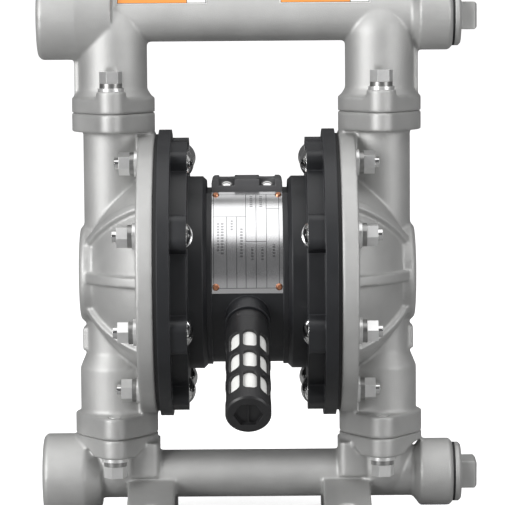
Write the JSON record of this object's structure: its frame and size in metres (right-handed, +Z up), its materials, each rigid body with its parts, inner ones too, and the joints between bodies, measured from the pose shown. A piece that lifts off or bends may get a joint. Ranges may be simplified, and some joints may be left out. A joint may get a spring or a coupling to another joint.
{
  "type": "air operated double diaphragm pump",
  "caption": "Air operated double diaphragm pump: round ribbed fluid caps either side of a black air section, ported manifolds above and below, a slotted silencer and bolted feet.",
  "frame": {"origin": "on the floor, at the centre of the four foot holes", "axes": "+X along the diaphragm rod, away from the open port ends; +Z up; the nameplate and silencer face -Y"},
  "size_m": [0.2857, 0.2532, 0.3613],
  "materials": {
    "cast_stainless": "matte blasted investment casting",
    "black_casting": "soft-sheen black coating on a fine-grained aluminium casting",
    "bright_fasteners": "bright polished stainless",
    "machined_steel": "turned stainless",
    "aluminium_parts": "machined aluminium",
    "white_ptfe": "waxy white fluoroplastic",
    "black_plastic": "moulded black plastic",
    "black_rubber": "moulded black rubber",
    "bronze": "sintered bronze",
    "copper_rivet": "copper drive rivets",
    "nameplate_sheet": "satin sheet with printed table lines"
  },
  "bodies": {
    "frame": {"air_cap_screws": "bright_fasteners", "bottom_manifold": "cast_stainless", "centre_body": "black_casting", "chamber_bolts": "bright_fasteners", "chamber_flat_washers": "bright_fasteners", "chamber_nuts": "bright_fasteners", "chamber_spring_washers": "bright_fasteners", "inlet_plug": "cast_stainless", "left_air_cap": "black_casting", "left_diaphragm": "white_ptfe", "left_fluid_cap": "cast_stainless", "left_inlet_seat": "machined_steel", "left_outlet_seat": "machined_steel", "left_valve_cap": "black_casting", "manifold_bolts": "bright_fasteners", "manifold_flat_washers": "bright_fasteners", "manifold_spring_washers": "bright_fasteners", "nameplate": "nameplate_sheet", "nameplate_rivets": "copper_rivet", "outlet_plug": "cast_stainless", "plug_gaskets": "black_rubber", "right_air_cap": "black_casting", "right_diaphragm": "white_ptfe", "right_fluid_cap": "cast_stainless", "right_inlet_seat": "machined_steel", "right_outlet_seat": "machined_steel", "right_valve_cap": "black_casting", "rod_bushings": "bronze", "rod_seals": "black_rubber", "seat_o_rings": "black_rubber", "silencer_cage": "black_plastic", "silencer_element": "white_ptfe", "top_cover": "black_casting", "top_cover_screws": "bright_fasteners", "top_manifold": "cast_stainless", "valve_block": "black_casting", "valve_block_screws": "bright_fasteners", "valve_cap_screws": "bright_fasteners", "valve_gasket": "black_rubber"},
    "shuttle": {"connecting_rod": "machined_steel", "left_inner_plate": "aluminium_parts", "right_inner_plate": "aluminium_parts", "left_outer_plate": "machined_steel", "right_outer_plate": "machined_steel", "plate_screws": "bright_fasteners"},
    "left_outlet_check": {"left_outlet_ball": "white_ptfe"},
    "right_outlet_check": {"right_outlet_ball": "white_ptfe"},
    "left_inlet_check": {"left_inlet_ball": "white_ptfe"},
    "right_inlet_check": {"right_inlet_ball": "white_ptfe"},
    "air_spool": {"valve_spool": "aluminium_parts"},
    "pilot": {"pilot_rod": "machined_steel"}
  },
  "joints": [
    {"name": "rod_slide", "type": "slide", "parent": "frame", "child": "shuttle", "axis": [1, 0, 0], "range_m": [-0.008, 0.008], "deforming": ["left_diaphragm", "right_diaphragm"]},
    {"name": "left_outlet_lift", "type": "slide", "parent": "frame", "child": "left_outlet_check", "axis": [0, 0, 1], "range_m": [0, 0.006]},
    {"name": "right_outlet_lift", "type": "slide", "parent": "frame", "child": "right_outlet_check", "axis": [0, 0, 1], "range_m": [0, 0.006]},
    {"name": "left_inlet_lift", "type": "slide", "parent": "frame", "child": "left_inlet_check", "axis": [0, 0, 1], "range_m": [0, 0.006]},
    {"name": "right_inlet_lift", "type": "slide", "parent": "frame", "child": "right_inlet_check", "axis": [0, 0, 1], "range_m": [0, 0.006]},
    {"name": "spool_slide", "type": "slide", "parent": "frame", "child": "air_spool", "axis": [1, 0, 0], "range_m": [-0.004, 0.004]},
    {"name": "pilot_slide", "type": "slide", "parent": "frame", "child": "pilot", "axis": [1, 0, 0], "range_m": [-0.003, 0.003]}
  ],
  "couplings": [
    {"joint": "pilot_slide", "follows": "rod_slide", "ratio": 0.375}
  ]
}
